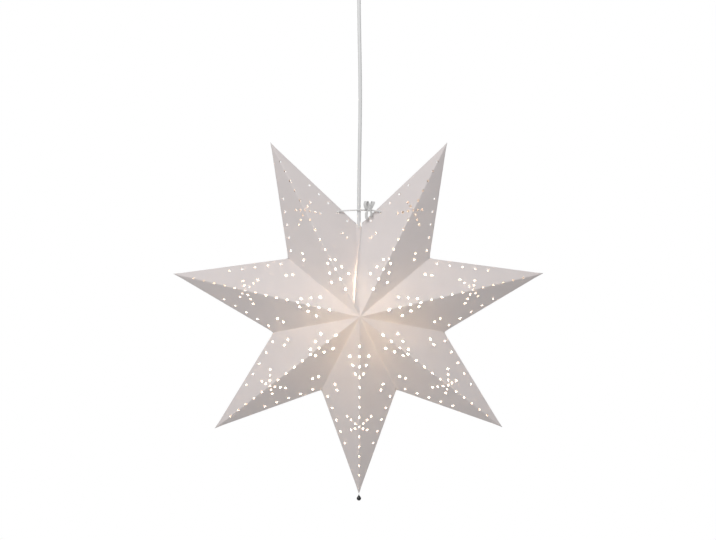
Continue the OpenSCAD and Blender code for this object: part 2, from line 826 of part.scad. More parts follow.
module supply_leads() {
    color("tan") for (s = [0, 1]) mirror([0, s, 0])
        strand(supply_route, lead_diameter);
}

module rose_cover() {
    r = rose_diameter / 2;
    // Rounding of the cover's lower edge
    c = 9;
    w = rose_wall;
    color("white") {
        difference() {
            rotate_extrude($fn = 96) polygon(concat(
                [[0, cover_floor_z]],
                [for (a = [-90:10:0])
                    [r - c + c * cos(a), cover_floor_z + c + c * sin(a)]],
                [[r, -ceiling_gap], [r - w, -ceiling_gap]],
                [for (a = [0:-10:-90]) [r - c + (c - w) * cos(a),
                    cover_floor_z + c + (c - w) * sin(a)]],
                [[0, cover_floor_z + w]]));
            translate([0, 0, cover_floor_z - over])
                cylinder(h = w + 2 * over, d = gland_thread + running_gap);
        }
        ring_blocks(tab_z, lug_height, cover_inner_r - lug_reach,
            cover_inner_r + rose_wall / 2, lug_angle);
    }
}

module gland_body() {
    r = gland_diameter / 2;
    bottom = -mouth_drop;
    top = socket_r + flange_drop;
    // The body narrows below the bush and is rounded off at both ends
    taper = 2.2;
    chamfer = 0.8;
    rim = 1.5;
    color("white") translate([0, 0, pivot_z]) difference() {
        rotate_extrude() polygon([[0, bottom], [r - taper - chamfer, bottom],
            [r - taper, bottom + chamfer], [r, -1], [r, top - rim],
            [r - rim, top - fit], [gland_thread / 2, top - fit],
            [gland_thread / 2, top + gland_neck], [0, top + gland_neck]]);
        // Seat of the rocking bush, open to its lip below
        sphere(r = socket_r);
        translate([0, 0, -lip_drop]) mirror([0, 0, 1])
            cylinder(h = mouth_drop, r1 = lip_r,
                r2 = lip_r + mouth_drop * tan(mouth_flare));
        translate([0, 0, -lip_drop - fit]) cylinder(h = lip_drop, r = lip_r);
        cylinder(h = top + gland_neck + over, r = cord_r + seat_gap);
    }
}

module gland_nut() {
    color("white") translate([0, 0, cover_floor_z + rose_wall + fit])
        difference() {
            cylinder(h = nut_height, d = nut_across / cos(30), $fn = 6);
            translate([0, 0, -over])
                cylinder(h = nut_height + 2 * over, d = gland_thread + fit);
        }
}

module cord_bush() {
    color("dimgray") translate([0, 0, pivot_z]) difference() {
        sphere(r = bush_r);
        for (m = [0, 1]) mirror([0, 0, m]) translate([0, 0, -fit / 2])
            cylinder(h = bush_r + over, r1 = waist_r,
                r2 = waist_r + (bush_r + over) * tan(flare));
    }
}

rose_plate();
cord_post();
terminal_block();
terminal_screws();
cord_saddle();
saddle_screws();
cord_stub();
supply_leads();
rose_cover();
gland_body();
gland_nut();
cord_bush();
pendant_cord();
holder_cap();
cap_grip_screw();
holder_shell();
holder_core();
core_screws();
thread_shell();
centre_contact();
lamp_leads();
bulb_globe();
bulb_collar();
led_board();
bulb_cap();
bulb_insulator();
bulb_contact();
color(paper) star_point(1);  // point_1
color(paper) star_point(2);  // point_2
color(paper) star_point(3);  // point_3
color(paper) star_point(4);  // point_4
color(paper) star_point(5);  // point_5
color(paper) star_point(6);  // point_6
color(paper) star_point(7);  // point_7
tie_string();
bead_ring();
tip_bead();
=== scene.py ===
# Paper star lantern: the looks of the folded card, its ribbon, cord, lamp and ceiling rose
import math

import bmesh
import bpy
from mathutils import Matrix, Vector, geometry, noise


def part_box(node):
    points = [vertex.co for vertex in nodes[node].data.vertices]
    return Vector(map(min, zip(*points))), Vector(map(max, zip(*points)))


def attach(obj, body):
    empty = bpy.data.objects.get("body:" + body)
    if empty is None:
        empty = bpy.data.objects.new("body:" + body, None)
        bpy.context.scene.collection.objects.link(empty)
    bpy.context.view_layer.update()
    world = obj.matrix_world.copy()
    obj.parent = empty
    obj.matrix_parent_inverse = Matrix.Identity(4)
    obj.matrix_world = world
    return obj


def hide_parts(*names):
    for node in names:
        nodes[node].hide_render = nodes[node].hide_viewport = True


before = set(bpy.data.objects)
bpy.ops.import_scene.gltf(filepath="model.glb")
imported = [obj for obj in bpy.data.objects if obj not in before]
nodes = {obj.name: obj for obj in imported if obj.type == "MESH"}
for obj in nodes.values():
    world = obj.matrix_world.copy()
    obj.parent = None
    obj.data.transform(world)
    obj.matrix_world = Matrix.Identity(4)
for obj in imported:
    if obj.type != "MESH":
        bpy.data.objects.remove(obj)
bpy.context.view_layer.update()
MM = 0.001

# The star's driving sizes, as the solids have them
TIP_RADIUS = 300 * MM
CORNER_RADIUS = 141 * MM
HALF_DEPTH = 70 * MM
CARD = 0.5 * MM
SEAM_GAP = 10 * MM
POINTS = 7
STAR_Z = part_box("point_1")[0].z + TIP_RADIUS
CENTRE = Vector((0, 0, STAR_Z))

# Angles and lengths of one panel of card, in its own plane and in space
SEAM_ANGLE = 2 * math.asin(SEAM_GAP / 2 / CORNER_RADIUS)
WEDGE = (2 * math.pi - SEAM_ANGLE) / POINTS
APEX = Vector((0, -HALF_DEPTH, 0))
TIP = Vector((0, 0, TIP_RADIUS))
CORNER = CORNER_RADIUS * Vector((math.sin(WEDGE / 2), 0, math.cos(WEDGE / 2)))
PANEL_OUT = (CORNER - APEX).cross(TIP - APEX).normalized()
PANEL_U = (TIP - APEX).normalized()
PANEL_V = PANEL_U.cross(PANEL_OUT)
RIDGE_LENGTH = (TIP - APEX).length
FLAT_APEX = Vector((0, 0))
FLAT_TIP = Vector((RIDGE_LENGTH, 0))
FLAT_CORNER = Vector(((CORNER - APEX).dot(PANEL_U), (CORNER - APEX).dot(PANEL_V)))
EDGE_DIR = (FLAT_TIP - FLAT_CORNER).normalized()
EDGE_IN = Vector((EDGE_DIR.y, -EDGE_DIR.x))
VALLEY_DIR = FLAT_CORNER.normalized()
VALLEY_IN = Vector((VALLEY_DIR.y, -VALLEY_DIR.x))

# Camera, from the photograph: places and focal length in its pixels, the sensor in millimetres
PHOTO_WIDTH = 716
FOCAL_PIXELS = 988
EYE_DISTANCE = 1.575
EYE_AZIMUTH = math.radians(-1.0)
EYE_ELEVATION = math.radians(6.8)
STAR_PIXEL = Vector((358.9, 311.5))
FRAME_MIDDLE = Vector((358, 270))
SENSOR_WIDTH = 36
CLIP_NEAR = 0.05
CLIP_FAR = 50


def add_object(name, data):
    made = bpy.data.objects.new(name, data)
    bpy.context.scene.collection.objects.link(made)
    return made


def aim(made, direction):
    """Turns a camera or a light to look along the direction."""
    made.rotation_mode = "QUATERNION"
    made.rotation_quaternion = direction.to_track_quat("-Z", "Y")


def make_camera():
    data = bpy.data.cameras.new("camera")
    data.sensor_width = SENSOR_WIDTH
    data.lens = FOCAL_PIXELS / PHOTO_WIDTH * SENSOR_WIDTH
    data.shift_x = (FRAME_MIDDLE.x - STAR_PIXEL.x) / PHOTO_WIDTH
    data.shift_y = (STAR_PIXEL.y - FRAME_MIDDLE.y) / PHOTO_WIDTH
    data.clip_start = CLIP_NEAR
    data.clip_end = CLIP_FAR
    camera = add_object("camera", data)
    back = Vector((math.sin(EYE_AZIMUTH) * math.cos(EYE_ELEVATION),
                   -math.cos(EYE_AZIMUTH) * math.cos(EYE_ELEVATION), math.sin(EYE_ELEVATION)))
    camera.location = CENTRE + EYE_DISTANCE * back
    aim(camera, -back)
    bpy.context.scene.camera = camera


make_camera()


class Shader:
    """A new material with short ways to add its nodes."""

    def __init__(self, name):
        self.material = bpy.data.materials.new(name)
        self.material.use_nodes = True
        self.tree = self.material.node_tree
        self.tree.nodes.clear()
        self.output = self.add("ShaderNodeOutputMaterial")
        self.place = self.add("ShaderNodeTexCoord").outputs["Object"]

    def add(self, kind, **values):
        node = self.tree.nodes.new(kind)
        for key, value in values.items():
            setattr(node, key, value)
        return node

    def link(self, source, target):
        self.tree.links.new(source, target)

    def set(self, socket, value):
        """A number or colour on the socket itself, or a link to it."""
        if isinstance(value, (int, float)):
            socket.default_value = value
        elif isinstance(value, tuple):
            socket.default_value = (*value, 1)
        else:
            self.link(value, socket)

    def noise(self, scale, detail=3, roughness=0.5, stretch=None):
        place = self.place
        if stretch:
            mapping = self.add("ShaderNodeMapping")
            mapping.inputs["Scale"].default_value = stretch
            self.link(place, mapping.inputs["Vector"])
            place = mapping.outputs["Vector"]
        node = self.add("ShaderNodeTexNoise")
        node.inputs["Scale"].default_value = scale
        node.inputs["Detail"].default_value = detail
        node.inputs["Roughness"].default_value = roughness
        self.link(place, node.inputs["Vector"])
        return node.outputs["Fac"]

    def wave(self, scale, distortion=0.0, direction="Z"):
        node = self.add("ShaderNodeTexWave", wave_type="BANDS", bands_direction=direction)
        node.inputs["Scale"].default_value = scale
        node.inputs["Distortion"].default_value = distortion
        self.link(self.place, node.inputs["Vector"])
        return node.outputs["Fac"]

    def ramp(self, factor, low, high, start=0.0, end=1.0):
        node = self.add("ShaderNodeValToRGB")
        first, last = node.color_ramp.elements
        first.position, last.position = start, end
        first.color, last.color = (*low, 1), (*high, 1)
        self.link(factor, node.inputs["Fac"])
        return node.outputs["Color"]

    def varied(self, colour, spread, scale):
        """A colour that varies a little over the surface."""
        low = tuple(max(0, c - spread) for c in colour)
        high = tuple(min(1, c + spread) for c in colour)
        return self.ramp(self.noise(scale), low, high, 0.3, 0.7)

    def math(self, operation, a, b):
        node = self.add("ShaderNodeMath", operation=operation)
        self.set(node.inputs[0], a)
        self.set(node.inputs[1], b)
        return node.outputs["Value"]

    def bump(self, height, strength, distance):
        node = self.add("ShaderNodeBump")
        node.inputs["Strength"].default_value = strength
        node.inputs["Distance"].default_value = distance
        self.link(height, node.inputs["Height"])
        return node.outputs["Normal"]

    def principled(self, colour, roughness, normal, **values):
        node = self.add("ShaderNodeBsdfPrincipled")
        self.set(node.inputs["Base Color"], colour)
        self.set(node.inputs["Roughness"], roughness)
        self.link(normal, node.inputs["Normal"])
        for key, value in values.items():
            self.set(node.inputs[key.replace("_", " ")], value)
        return node

    def finish(self, shader):
        self.link(shader, self.output.inputs["Surface"])
        return self.material


# The card's colour, and the share of light that comes through it, also where it is scored
CARD_COLOUR = (0.665, 0.618, 0.612)
CARD_THROUGH = (0.78, 0.73, 0.66)
CARD_SHARE = 0.086
SCORE_SHARE = 0.145
CLOUD_SHARE = 0.012


def card_material():
    """Uncoated card: a little light comes through it, and more where a fold is scored."""
    s = Shader("pierced_card")
    pulp = s.noise(900, detail=4, roughness=0.6)
    fibre = s.noise(260, detail=3, stretch=(1, 1, 5))
    height = s.math("ADD", s.math("MULTIPLY", pulp, 0.5), s.math("MULTIPLY", fibre, 0.5))
    normal = s.bump(height, 0.3, 0.12 * MM)
    front = s.principled(s.varied(CARD_COLOUR, 0.012, 28), 0.75, normal, Specular_IOR_Level=0.3)
    through = s.add("ShaderNodeBsdfTranslucent")
    through.inputs["Color"].default_value = (*CARD_THROUGH, 1)
    s.link(normal, through.inputs["Normal"])
    score = s.add("ShaderNodeAttribute", attribute_name="score").outputs["Fac"]
    cloud = s.math("MULTIPLY", s.noise(70, detail=5, roughness=0.7), CLOUD_SHARE)
    share = s.math("ADD", s.math("MULTIPLY", score, SCORE_SHARE - CARD_SHARE), CARD_SHARE - CLOUD_SHARE / 2)
    mix = s.add("ShaderNodeMixShader")
    s.link(s.math("ADD", share, cloud), mix.inputs["Fac"])
    s.link(front.outputs["BSDF"], mix.inputs[1])
    s.link(through.outputs["BSDF"], mix.inputs[2])
    return s.finish(mix.outputs["Shader"])


GLOSS_SPREAD = 0.12


def moulded_material(name, colour, roughness, grain=900, depth=0.04 * MM):
    """A moulded or fired surface with a fine grain and a slightly uneven gloss."""
    s = Shader(name)
    normal = s.bump(s.noise(grain, detail=2), 0.3, depth)
    rough = s.math("ADD", s.math("MULTIPLY", s.noise(120), GLOSS_SPREAD), roughness - GLOSS_SPREAD / 2)
    node = s.principled(s.varied(colour, 0.01, 60), rough, normal)
    return s.finish(node.outputs["BSDF"])


def turned_material(name, colour, roughness, grooves):
    """Metal with fine rings round its own axis."""
    s = Shader(name)
    normal = s.bump(s.wave(grooves, 0.4), 0.2, 0.03 * MM)
    node = s.principled(s.varied(colour, 0.03, 90), roughness, normal, Metallic=1.0)
    return s.finish(node.outputs["BSDF"])


def ribbon_material():
    """Woven cotton tape: threads across threads, a little furry."""
    s = Shader("cotton_tape")
    warp = s.wave(260, 0.6, "X")
    weft = s.wave(330, 0.6, "Z")
    weave = s.math("MULTIPLY", warp, weft)
    colour = s.ramp(weave, (0.52, 0.515, 0.51), (0.72, 0.715, 0.71))
    normal = s.bump(weave, 0.5, 0.12 * MM)
    node = s.principled(colour, 0.85, normal, Sheen_Weight=0.25)
    return s.finish(node.outputs["BSDF"])


def yarn_material():
    """Twisted cotton string."""
    s = Shader("twisted_yarn")
    height = s.math("ADD", s.wave(420, 0.5, "DIAGONAL"), s.math("MULTIPLY", s.noise(1500), 0.3))
    normal = s.bump(height, 0.3, 0.1 * MM)
    node = s.principled(s.varied((0.66, 0.655, 0.65), 0.02, 200), 0.9, normal, Sheen_Weight=0.2)
    return s.finish(node.outputs["BSDF"])


def flex_material(name, colour):
    """Smooth sheath with the lay of its cores just showing."""
    s = Shader(name)
    height = s.math("ADD", s.wave(9, 0.0, "DIAGONAL"), s.math("MULTIPLY", s.noise(1200), 0.08))
    normal = s.bump(height, 0.35, 0.5 * MM)
    node = s.principled(s.varied(colour, 0.012, 30), 0.38, normal, Specular_IOR_Level=0.45)
    return s.finish(node.outputs["BSDF"])


GLOW_COLOUR = (1.0, 0.84, 0.62)
GLOW_STRENGTH = 1000.0
# How bright the globe's top is beside its bottom, and the share of its height on which it fades
GLOW_TOP_SHARE = 0.06
GLOW_FADE = 0.8


def globe_material():
    """Opal globe, brightest below, where its light sources shine down."""
    s = Shader("lit_opal_globe")
    low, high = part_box("bulb_globe")
    axes = s.add("ShaderNodeSeparateXYZ")
    s.link(s.place, axes.inputs["Vector"])
    height = s.add("ShaderNodeMapRange", interpolation_type="SMOOTHSTEP")
    height.inputs["From Min"].default_value = low.z
    height.inputs["From Max"].default_value = low.z + GLOW_FADE * (high.z - low.z)
    s.link(axes.outputs["Z"], height.inputs["Value"])
    uneven = s.math("MULTIPLY", s.noise(14), 0.06)
    glow = s.ramp(s.math("ADD", height.outputs["Result"], uneven), GLOW_COLOUR,
                  tuple(GLOW_TOP_SHARE * c for c in GLOW_COLOUR))
    normal = s.bump(s.noise(300), 0.1, 0.02 * MM)
    node = s.principled((0.92, 0.90, 0.86), 0.35, normal, Emission_Color=glow,
                        Emission_Strength=GLOW_STRENGTH)
    return s.finish(node.outputs["BSDF"])


def bead_material():
    """Black glass, smooth all over."""
    s = Shader("black_glass")
    normal = s.bump(s.noise(260, detail=1), 0.08, 0.05 * MM)
    node = s.principled(s.varied((0.007, 0.007, 0.008), 0.004, 200), 0.08, normal, Specular_IOR_Level=0.3)
    return s.finish(node.outputs["BSDF"])


look = {
    "card": card_material(),
    "ribbon": ribbon_material(),
    "yarn": yarn_material(),
    "cord": flex_material("white_flex", (0.65, 0.65, 0.65)),
    "brown_lead": flex_material("brown_lead", (0.16, 0.07, 0.035)),
    "blue_lead": flex_material("blue_lead", (0.03, 0.12, 0.42)),
    "rose": moulded_material("rose_plastic", (0.80, 0.80, 0.79), 0.36, grain=700),
    "gland": moulded_material("gland_plastic", (0.76, 0.76, 0.75), 0.42, grain=1100),
    "holder": moulded_material("holder_plastic", (0.78, 0.78, 0.76), 0.40, grain=1100),
    "bush": moulded_material("nylon_bush", (0.62, 0.62, 0.60), 0.5),
    "block": moulded_material("terminal_plastic", (0.74, 0.74, 0.70), 0.5),
    "ceramic": moulded_material("core_ceramic", (0.80, 0.77, 0.70), 0.62, grain=1800, depth=0.1 * MM),
    "steel": turned_material("zinc_screw", (0.55, 0.55, 0.56), 0.32, 500),
    "wire": turned_material("ring_wire", (0.60, 0.60, 0.61), 0.25, 900),
    "brass": turned_material("brass_contact", (0.80, 0.58, 0.26), 0.3, 700),
    "nickel": turned_material("nickel_cap", (0.66, 0.64, 0.60), 0.28, 400),
    "globe": globe_material(),
    "collar": moulded_material("bulb_housing", (0.82, 0.82, 0.80), 0.45),
    "board": moulded_material("board_mask", (0.80, 0.80, 0.78), 0.5),
    "seal": moulded_material("black_seal", (0.02, 0.02, 0.02), 0.3),
    "bead": bead_material(),
}
FINISHES = {
    "rose": ["rose_plate", "rose_cover", "cord_post"],
    "gland": ["cord_saddle", "gland_body", "gland_nut"],
    "holder": ["holder_cap", "holder_shell"],
    "block": ["terminal_block"],
    "bush": ["cord_bush"],
    "ceramic": ["holder_core"],
    "steel": ["terminal_screws", "saddle_screws", "cap_grip_screw", "core_screws"],
    "brass": ["thread_shell", "centre_contact", "bulb_contact"],
    "globe": ["bulb_globe"],
    "collar": ["bulb_collar"],
    "board": ["led_board"],
    "nickel": ["bulb_cap"],
    "seal": ["bulb_insulator"],
    "wire": ["bead_ring"],
    "bead": ["tip_bead"],
}
for finish, names in FINISHES.items():
    for name in names:
        nodes[name].data.materials.clear()
        nodes[name].data.materials.append(look[finish])


def add_piece(name, data, material, body):
    """A new piece of the object, on its body, with its material."""
    piece = add_object(name, data)
    data.materials.append(material)
    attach(piece, body)
    return piece


def smooth_mesh(name, bm):
    """The finished form as a mesh with smooth shading."""
    mesh = bpy.data.meshes.new(name)
    bm.to_mesh(mesh)
    bm.free()
    mesh.polygons.foreach_set("use_smooth", [True] * len(mesh.polygons))
    return mesh


CORD_RESOLUTION = 6
CORD_ROUNDNESS = 5


def round_cord(name, points, diameter, material, body):
    """A round cord along a smooth curve through the points."""
    curve = bpy.data.curves.new(name, "CURVE")
    curve.dimensions = "3D"
    curve.resolution_u = CORD_RESOLUTION
    curve.bevel_depth = diameter / 2
    curve.bevel_resolution = CORD_ROUNDNESS
    curve.use_fill_caps = True
    spline = curve.splines.new("BEZIER")
    spline.bezier_points.add(len(points) - 1)
    for handle, point in zip(spline.bezier_points, points):
        handle.co = point
        handle.handle_left_type = "AUTO"
        handle.handle_right_type = "AUTO"
    return add_piece(name, curve, material, body)


CORD_DIAMETER = 5.6 * MM
CORD_STEPS = 24
# Where the cord leans aside above the star, and how far
LEAN = 2.0 * MM
LEAN_FROM, LEAN_TO = 165 * MM, 500 * MM


def hanging_cord():
    """The pendant's cord, from the gland to the lamp holder."""
    low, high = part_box("pendant_cord")
    top, end = high.z - CORD_DIAMETER / 2, low.z
    points = []
    for i in range(CORD_STEPS + 1):
        z = top + (end - top) * i / CORD_STEPS
        t = min(1, max(0, (z - STAR_Z - LEAN_FROM) / (LEAN_TO - LEAN_FROM)))
        points.append(Vector((LEAN * math.sin(math.pi * t) ** 2, 0, z)))
    cord = round_cord("flex", points, CORD_DIAMETER, look["cord"], "pendant")
    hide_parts("pendant_cord")


hanging_cord()

STUB_STEPS = 6
LEAD_DIAMETER = 2.2 * MM
LEAD_SPREAD = 5 * MM


def short_wires():
    """The cord's fixed end in the rose, and the two leads at each end of the cord."""
    low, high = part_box("cord_stub")
    down = [Vector((0, 0, high.z + (low.z - high.z) * i / STUB_STEPS)) for i in range(STUB_STEPS + 1)]
    stub = round_cord("stub", down, CORD_DIAMETER, look["cord"], "mount")
    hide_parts("cord_stub")
    top = high.z / MM
    block_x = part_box("terminal_block")[1].x / MM
    supply = [(0, 1.3, top), (0, 1.3, top + 1), (-1.5, 2.2, top + 3.4), (-4.5, 4.2, top + 5.2),
              (-8.5, 6.4, top + 5.5), (block_x + 0.5, 7, top + 5.5), (block_x - 6, 7, top + 5.5)]
    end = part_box("pendant_cord")[0].z / MM
    spread = LEAD_SPREAD / MM
    lamp = [(1.3, 0, end), (1.3, 0, end - 1), (2.2, 0, end - 2.6), (3.8, 0, end - 4.4), (spread, 0, end - 6),
            (spread, 0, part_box("lamp_leads")[0].z / MM)]
    for name, route, mirror, body, node in (("supply", supply, (1, -1, 1), "mount", "supply_leads"),
                                            ("lamp", lamp, (-1, 1, 1), "pendant", "lamp_leads")):
        for colour, sides in (("brown", (1, 1, 1)), ("blue", mirror)):
            points = [MM * Vector(p) * Vector(sides) for p in route]
            wire = round_cord(f"{colour}_{name}_lead", points, LEAD_DIAMETER, look[f"{colour}_lead"], body)
            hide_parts(node)


short_wires()

STRING_DIAMETER = 2.0 * MM
CORD_CLEARANCE = 0.6 * MM
TIE_Y = (CORD_DIAMETER / 2 + STRING_DIAMETER / 2 + CORD_CLEARANCE) / MM
# The string's route from the star's centre, in millimetres: from the knot round the cord and back
TIE_ROUTE = [
    (16, -7.6, 161.4), (24, -7.2, 160.4), (30, -6.8, 159.2), (32.6, -6.4, 158.6), (33.3, -5, 157.8),
    (34, -3.4, 157), (34.2, 0, 156.8), (34, 3.4, 157), (33.3, 5, 157.8), (32.6, 6.4, 158.6),
    (26, 5.8, 159.6), (12, TIE_Y + 0.2, 160.4), (0, TIE_Y, 160.6), (-12, TIE_Y + 0.2, 160.4),
    (-26, 5.8, 159.6), (-32.6, 6.4, 158.6), (-33.3, 5, 157.8), (-34, 3.4, 157), (-34.2, 0, 156.8),
    (-34, -3.4, 157), (-33.3, -5, 157.8), (-32.6, -6.4, 158.6), (-26, -5.8, 159.6),
    (-12, -TIE_Y - 0.2, 160.6), (0, -TIE_Y, 161), (8, -TIE_Y - 0.8, 161.2), (16, -7.6, 161.4),
]
TAPE_WIDTH = 4.8 * MM
TAPE_THICKNESS = 0.8 * MM
TAPE_CUP = 0.35 * MM
# How far the cut end slants, and how suddenly
TAPE_SLANT = 1.4 * MM
SLANT_POWER = 6
# The share of the tape's width next to the knot, and how much it gains with each step away
GATHERED = 0.6
GATHER_STEP = 0.08
TAPE_STEPS = 5
# One face of the tape's section: places across and up, as shares of half its width and thickness
TAPE_SIDE = ((-0.94, 1), (-0.5, 1), (0, 1), (0.5, 1), (0.94, 1))
# The bow's loops and ends: points along the middle of the tape, and the way that its width lies
BOW = {
    "left_loop": ([(15, -8.4, 161.4), (11.8, -9.6, 162.6), (10.1, -10.8, 165.6), (9.4, -11.4, 169),
                   (9.6, -11.2, 172), (10.7, -9.8, 174.1), (12.5, -8.2, 174.3), (13.9, -7, 172),
                   (14.2, -6.7, 168.6), (14.4, -6.9, 165.2), (15.4, -7.6, 162.2)], (1, 0, 0)),
    "right_loop": ([(17, -8.4, 161.8), (18.6, -9.8, 164), (20.1, -10.8, 166.9), (21.6, -11.4, 169.9),
                    (22.6, -11, 172.5), (22.3, -9.6, 174), (20.9, -8.1, 173.2), (19.7, -7.1, 170.2),
                    (18.8, -6.8, 167), (17.8, -7.1, 164.2), (16.6, -7.8, 161.8)], (0.97, 0.2, -0.14)),
    "left_end": ([(15, -8.6, 161), (12.6, -9.8, 158.8), (11.5, -10.8, 155.2), (11.6, -11.2, 150.8),
                  (12.7, -11, 146.2)], (0.95, 0.28, 0.14)),
    "right_end": ([(17, -8.6, 161), (18.7, -9.4, 158.8), (19.5, -10, 156.4), (19.6, -10.3, 153.6),
                   (19.2, -10.2, 150.6)], (0.72, 0.68, -0.14)),
}
KNOT = Vector((16, -8.1, 161.4))
KNOT_HALF = Vector((3.6, 2.2, 2.1))
KNOT_SIDES = 28
KNOT_ROWS = 12
KNOT_NARROWING = 0.45
KNOT_FOLDS = 5
KNOT_FOLD_DEPTH = 0.05


def smooth_path(points, steps):
    """Points along a smooth curve through the given ones."""
    ends = [2 * points[0] - points[1]] + points + [2 * points[-1] - points[-2]]
    path = []
    for i in range(1, len(ends) - 2):
        a, b, c, d = ends[i - 1:i + 3]
        for k in range(steps):
            t = k / steps
            path.append(0.5 * (2 * b + (c - a) * t + (2 * a - 5 * b + 4 * c - d) * t * t
                               + (3 * b - a - 3 * c + d) * t ** 3))
    return path + [points[-1]]


def add_tape(bm, points, side, cut_end):
    """Flat woven tape with rounded edges along the points, its width along side."""
    path = smooth_path([CENTRE + MM * Vector(p) for p in points], TAPE_STEPS)
    side = Vector(side).normalized()
    half, thick = TAPE_WIDTH / 2, TAPE_THICKNESS / 2
    last = len(path) - 1
    outline = [(-1, 0), *TAPE_SIDE, (1, 0), *((-x, -y) for x, y in TAPE_SIDE)]
    rings = []
    for i, p in enumerate(path):
        along = (path[min(i + 1, last)] - path[max(i - 1, 0)]).normalized()
        up = along.cross(side).normalized()
        # The tape is gathered where it goes into the knot, and its free end is cut at a slant
        from_knot = i if cut_end else min(i, last - i)
        gather = min(1, GATHERED + GATHER_STEP * from_knot)
        slant = TAPE_SLANT * (i / last) ** SLANT_POWER if cut_end else 0
        rings.append([bm.verts.new(p + side * (half * gather * x) + up * (thick * y - TAPE_CUP * x * x)
                                   - along * (slant * (1 - x) / 2)) for x, y in outline])
    bridge(bm, rings)


def bridge(bm, rings):
    """Closes a tube through rings of points."""
    count = len(rings[0])
    for a, b in zip(rings, rings[1:]):
        for k in range(count):
            bm.faces.new((a[k], a[(k + 1) % count], b[(k + 1) % count], b[k]))
    bm.faces.new(rings[0][::-1])
    bm.faces.new(rings[-1])


def add_knot(bm):
    """The knot: a wrap of gathered tape, rounded off above and below."""
    rings = []
    for j in range(KNOT_ROWS + 1):
        v = -1 + 2 * j / KNOT_ROWS
        fat = 1 - KNOT_NARROWING * abs(v) ** 5
        ring = []
        for k in range(KNOT_SIDES):
            a = 2 * math.pi * k / KNOT_SIDES
            crease = 1 - KNOT_FOLD_DEPTH * (1 + math.cos(KNOT_FOLDS * a + 2 * v)) / 2
            x = KNOT_HALF.x * fat * crease * math.cos(a)
            y = KNOT_HALF.y * fat * crease * math.sin(a)
            ring.append(bm.verts.new(CENTRE + MM * (KNOT + Vector((x, y, KNOT_HALF.z * v)))))
        rings.append(ring)
    bridge(bm, rings)


def tied_ribbon():
    """The string round the cord and its bow."""
    route = [CENTRE + MM * Vector(p) for p in TIE_ROUTE]
    tie = round_cord("tie_line", route, STRING_DIAMETER, look["yarn"], "star")
    bm = bmesh.new()
    for name, (points, side) in BOW.items():
        add_tape(bm, points, side, name.endswith("end"))
    add_knot(bm)
    bmesh.ops.recalc_face_normals(bm, faces=bm.faces)
    bow = add_piece("bow", smooth_mesh("bow", bm), look["ribbon"], "star")
    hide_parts("tie_string")
    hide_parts("tie_string")


tied_ribbon()


def heading(degrees):
    """The direction at an angle from the ridge, in a panel's plane."""
    return Vector((math.cos(math.radians(degrees)), math.sin(math.radians(degrees))))


# The pierced pattern of one panel
HOLE_RADIUS = 2.05 * MM
RIDGE_START, RIDGE_PITCH, RIDGE_HOLES = 48.3 * MM, 17.3 * MM, 14
BURST = Vector((RIDGE_START + 8 * RIDGE_PITCH, 0))
BURST_PITCH = 8.8 * MM
FAN = Vector((RIDGE_START + 4 * RIDGE_PITCH, 0))
FAN_PITCH = 14.8 * MM
EDGE_INSET, EDGE_START, EDGE_PITCH, EDGE_HOLES = 8.6 * MM, 11.8 * MM, 20.4 * MM, 5
PAIR_INSET, PAIR_HALF = 31 * MM, 5.15 * MM
RING_HOLE_RADIUS = 0.7 * MM
RING_HOLE_HEIGHT = 3.2 * MM


def pierced_holes():
    """Centres and radii of a panel's holes, in its own plane."""
    holes = [Vector((RIDGE_START + i * RIDGE_PITCH, 0)) for i in range(RIDGE_HOLES)]
    holes += [BURST + i * BURST_PITCH * heading(120) for i in (1, 2, 3)]
    holes += [BURST + i * BURST_PITCH * heading(60) for i in (1, 2)]
    holes += [FAN + i * FAN_PITCH * heading(160) for i in (1.5, 2.5, 3.5)]
    holes += [FLAT_CORNER + s * PAIR_HALF * EDGE_DIR + PAIR_INSET * EDGE_IN for s in (-1, 1)]
    first = FLAT_CORNER + EDGE_START * EDGE_DIR + EDGE_INSET * EDGE_IN
    holes += [first + i * EDGE_PITCH * EDGE_DIR for i in range(EDGE_HOLES)]
    return [(hole, HOLE_RADIUS) for hole in holes]


# The panel's fold lines, ridge, edge and valley: a line's two ends and the way in from it
FOLDS = ((FLAT_APEX, FLAT_TIP, Vector((0, 1))), (FLAT_CORNER, FLAT_TIP, EDGE_IN),
         (FLAT_APEX, FLAT_CORNER, VALLEY_IN))
# How the panel's mesh is laid out: its grid, its rows beside the folds and what it keeps clear
HOLE_SIDES = 16
GRID = 7 * MM
ROW_PITCH = 0.9 * GRID
FOLD_PITCH = 0.6 * GRID
FOLD_ROWS = (0.45 * MM, 0.9 * MM, 1.4 * MM)
FOLD_WIDTH = FOLD_ROWS[-1]
SCORE_WIDTH = FOLD_ROWS[1]
GRID_GAP = 1.5 * MM
ROW_GAP = 0.3 * MM
SAME_PLACE = 0.0001 * MM
# A triangle whose middle is nearer to a fold line than this has its three points on that line
SLIVER = 0.01 * MM


def fold_distances(p):
    return [(p - start).dot(inward) for start, _, inward in FOLDS]


def border_points(a, b):
    """Evenly spaced points from a to b, both included."""
    steps = max(2, round((b - a).length / GRID))
    return [a.lerp(b, i / steps) for i in range(steps + 1)]


